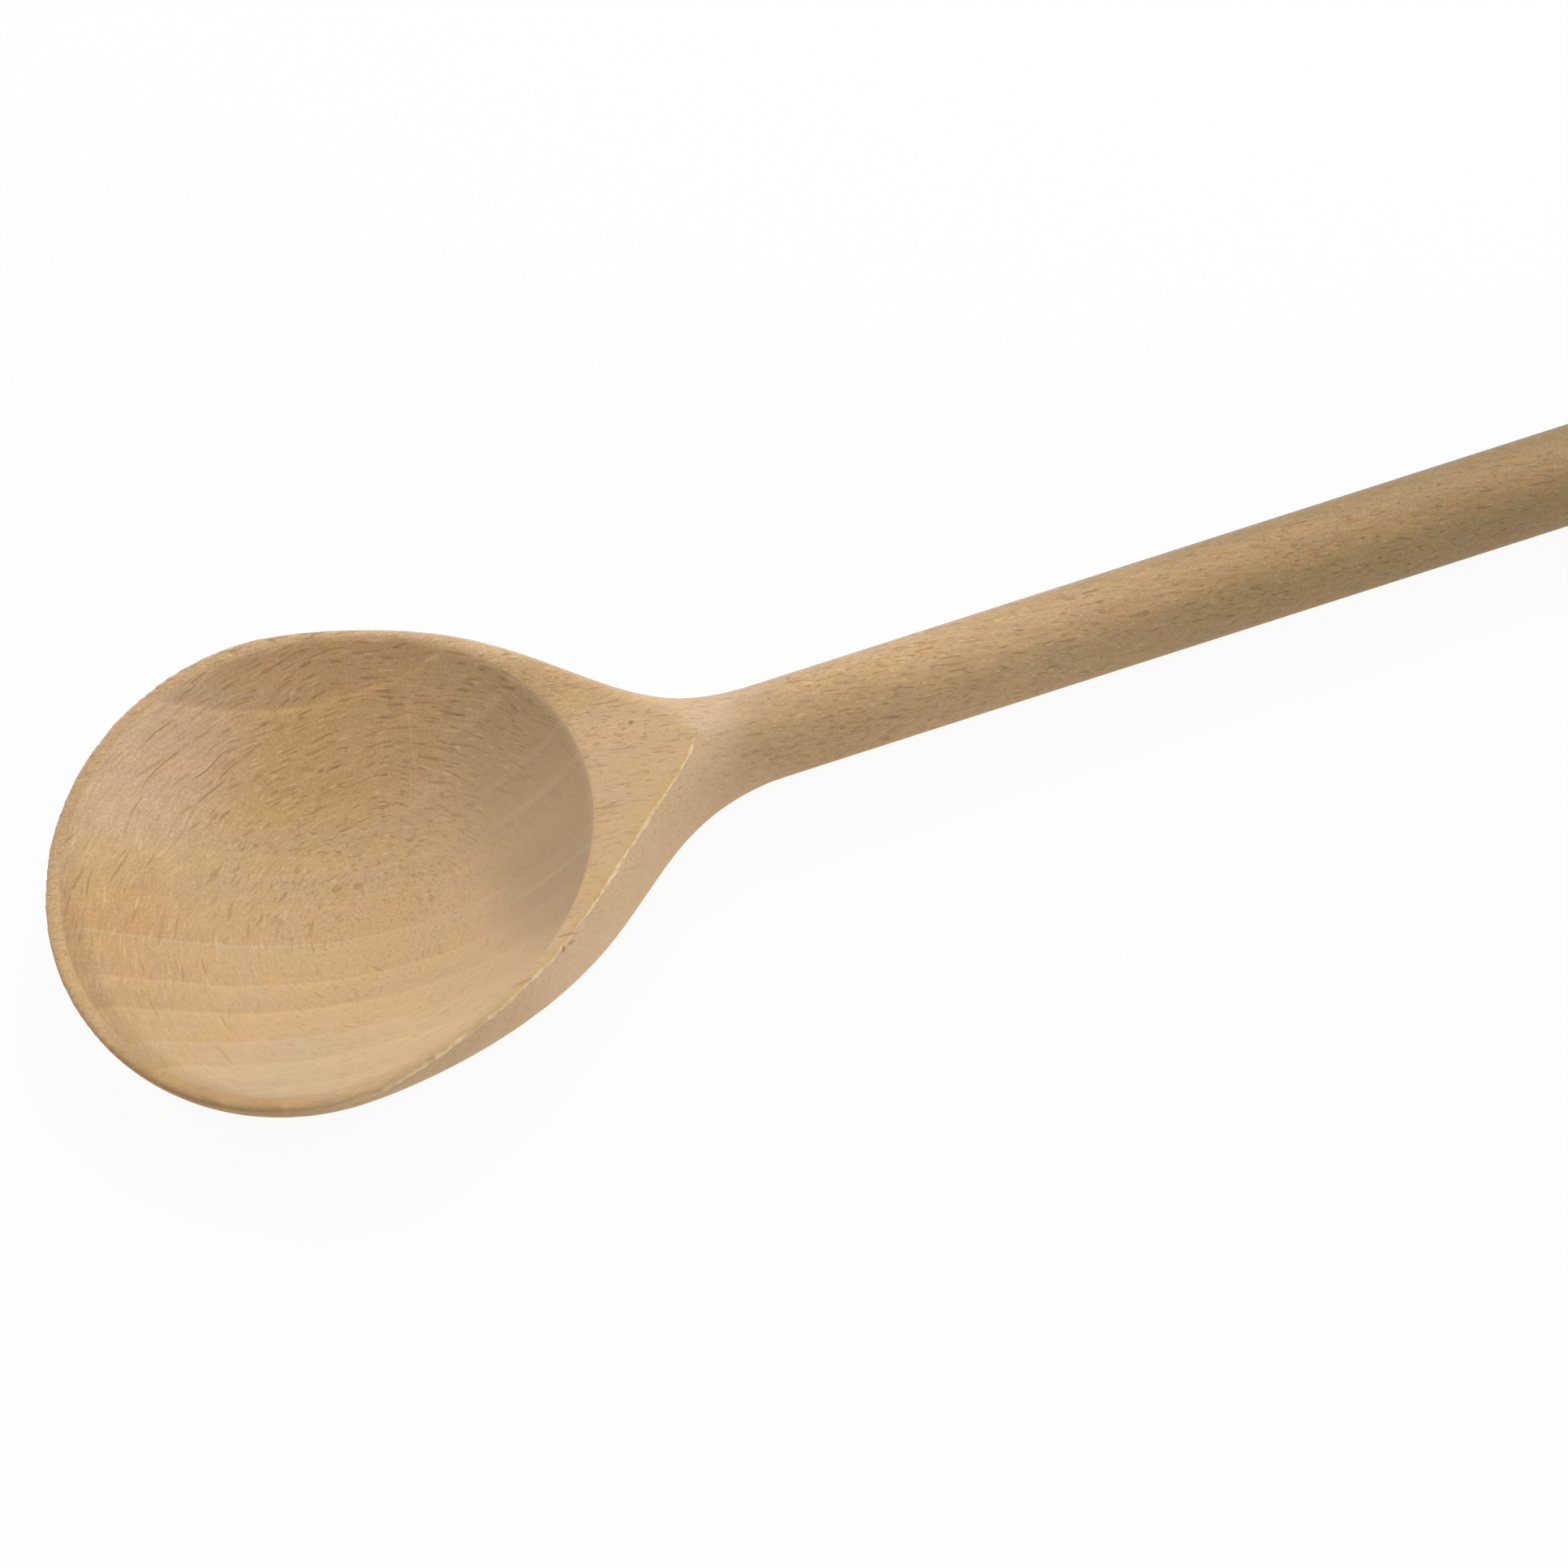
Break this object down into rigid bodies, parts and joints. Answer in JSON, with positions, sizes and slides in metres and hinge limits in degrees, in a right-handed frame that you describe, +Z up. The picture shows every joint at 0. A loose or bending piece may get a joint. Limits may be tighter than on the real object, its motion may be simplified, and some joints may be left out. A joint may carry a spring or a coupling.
{
  "type": "wooden spoon",
  "caption": "Wooden cooking spoon with a round straight handle, a flared neck and a shallow egg-shaped bowl whose flat rim runs out in a V at the neck.",
  "frame": {"origin": "on the table top under the middle of the spoon's box, the spoon lying bowl up on its belly and the end of its handle", "axes": "+X along the spoon towards the handle's end, +Y across it, +Z up"},
  "size_m": [0.2999, 0.064, 0.0155],
  "materials": {
    "beech": "bare wood, sanded and matte"
  },
  "bodies": {
    "root": {"spoon": "beech"}
  },
  "joints": []
}
